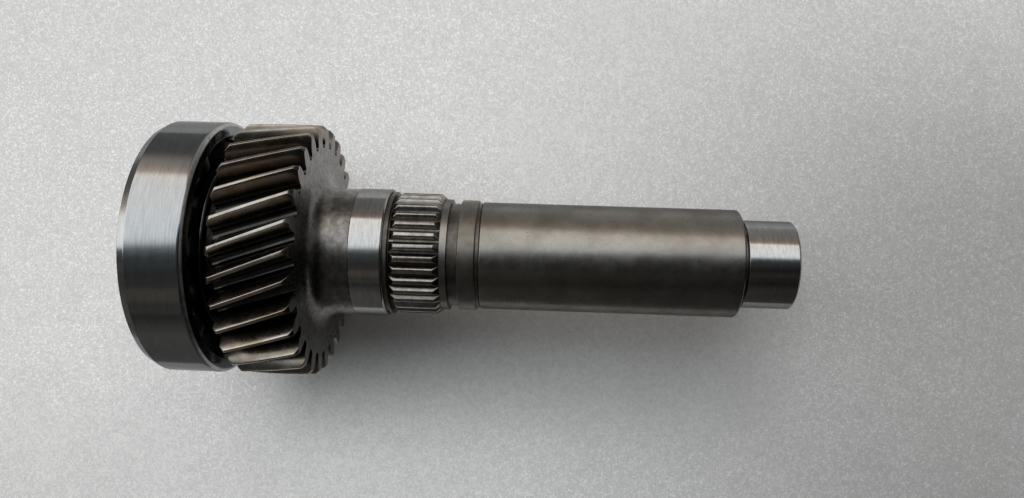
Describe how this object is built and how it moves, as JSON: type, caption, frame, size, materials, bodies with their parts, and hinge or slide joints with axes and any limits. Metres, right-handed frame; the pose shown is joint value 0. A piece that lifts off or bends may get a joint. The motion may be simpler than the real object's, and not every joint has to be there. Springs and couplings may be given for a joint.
{
  "type": "idler shaft with helical gear and ball bearing",
  "caption": "Steel idler shaft with an integral helical gear, a splined length, a retaining-ring groove and a long ground barrel, carried by a deep-groove ball bearing.",
  "frame": {"origin": "middle of the bearing's lower face, on the shaft's axis, where the part stands", "axes": "+Z along the shaft's axis from the bearing to the pilot end; -Y faces the picture's camera"},
  "size_m": [0.09, 0.09, 0.22],
  "materials": {
    "shaft_steel": "ground and oiled, heat-tinted brown on the gear teeth",
    "ring_steel": "fine ground, bright",
    "ball_steel": "polished",
    "cage_steel": "dark, oiled pressed sheet",
    "rivet_steel": "dark, oiled"
  },
  "bodies": {
    "shaft_assembly": {"shaft": "shaft_steel", "bearing_inner_ring": "ring_steel"},
    "outer_ring": {"bearing_outer_ring": "ring_steel"},
    "cage": {"cage_lower_half": "cage_steel", "cage_upper_half": "cage_steel", "cage_rivet_01": "rivet_steel", "cage_rivet_02": "rivet_steel", "cage_rivet_03": "rivet_steel", "cage_rivet_04": "rivet_steel", "cage_rivet_05": "rivet_steel", "cage_rivet_06": "rivet_steel", "cage_rivet_07": "rivet_steel", "cage_rivet_08": "rivet_steel", "cage_rivet_09": "rivet_steel", "cage_rivet_10": "rivet_steel"},
    "ball_01_body": {"ball_01": "ball_steel"},
    "ball_02_body": {"ball_02": "ball_steel"},
    "ball_03_body": {"ball_03": "ball_steel"},
    "ball_04_body": {"ball_04": "ball_steel"},
    "ball_05_body": {"ball_05": "ball_steel"},
    "ball_06_body": {"ball_06": "ball_steel"},
    "ball_07_body": {"ball_07": "ball_steel"},
    "ball_08_body": {"ball_08": "ball_steel"},
    "ball_09_body": {"ball_09": "ball_steel"},
    "ball_10_body": {"ball_10": "ball_steel"}
  },
  "joints": [
    {"name": "outer_ring_spin", "type": "hinge", "parent": "shaft_assembly", "child": "outer_ring", "pos_m": [0, 0, 0.0105], "axis": [0, 0, 1], "continuous": true},
    {"name": "cage_spin", "type": "hinge", "parent": "shaft_assembly", "child": "cage", "pos_m": [0, 0, 0.0105], "axis": [0, 0, 1], "continuous": true},
    {"name": "ball_01_roll", "type": "hinge", "parent": "cage", "child": "ball_01_body", "pos_m": [0.035, 0, 0.0105], "axis": [0, 0, 1], "continuous": true},
    {"name": "ball_02_roll", "type": "hinge", "parent": "cage", "child": "ball_02_body", "pos_m": [0.02832, 0.02057, 0.0105], "axis": [0, 0, 1], "continuous": true},
    {"name": "ball_03_roll", "type": "hinge", "parent": "cage", "child": "ball_03_body", "pos_m": [0.01082, 0.03329, 0.0105], "axis": [0, 0, 1], "continuous": true},
    {"name": "ball_04_roll", "type": "hinge", "parent": "cage", "child": "ball_04_body", "pos_m": [-0.01082, 0.03329, 0.0105], "axis": [0, 0, 1], "continuous": true},
    {"name": "ball_05_roll", "type": "hinge", "parent": "cage", "child": "ball_05_body", "pos_m": [-0.02832, 0.02057, 0.0105], "axis": [0, 0, 1], "continuous": true},
    {"name": "ball_06_roll", "type": "hinge", "parent": "cage", "child": "ball_06_body", "pos_m": [-0.035, 0, 0.0105], "axis": [0, 0, 1], "continuous": true},
    {"name": "ball_07_roll", "type": "hinge", "parent": "cage", "child": "ball_07_body", "pos_m": [-0.02832, -0.02057, 0.0105], "axis": [0, 0, 1], "continuous": true},
    {"name": "ball_08_roll", "type": "hinge", "parent": "cage", "child": "ball_08_body", "pos_m": [-0.01082, -0.03329, 0.0105], "axis": [0, 0, 1], "continuous": true},
    {"name": "ball_09_roll", "type": "hinge", "parent": "cage", "child": "ball_09_body", "pos_m": [0.01082, -0.03329, 0.0105], "axis": [0, 0, 1], "continuous": true},
    {"name": "ball_10_roll", "type": "hinge", "parent": "cage", "child": "ball_10_body", "pos_m": [0.02832, -0.02057, 0.0105], "axis": [0, 0, 1], "continuous": true}
  ],
  "couplings": [
    {"joint": "cage_spin", "follows": "outer_ring_spin", "ratio": 0.59071},
    {"joint": "ball_01_roll", "follows": "outer_ring_spin", "ratio": 2.6652},
    {"joint": "ball_02_roll", "follows": "outer_ring_spin", "ratio": 2.6652},
    {"joint": "ball_03_roll", "follows": "outer_ring_spin", "ratio": 2.6652},
    {"joint": "ball_04_roll", "follows": "outer_ring_spin", "ratio": 2.6652},
    {"joint": "ball_05_roll", "follows": "outer_ring_spin", "ratio": 2.6652},
    {"joint": "ball_06_roll", "follows": "outer_ring_spin", "ratio": 2.6652},
    {"joint": "ball_07_roll", "follows": "outer_ring_spin", "ratio": 2.6652},
    {"joint": "ball_08_roll", "follows": "outer_ring_spin", "ratio": 2.6652},
    {"joint": "ball_09_roll", "follows": "outer_ring_spin", "ratio": 2.6652},
    {"joint": "ball_10_roll", "follows": "outer_ring_spin", "ratio": 2.6652}
  ]
}
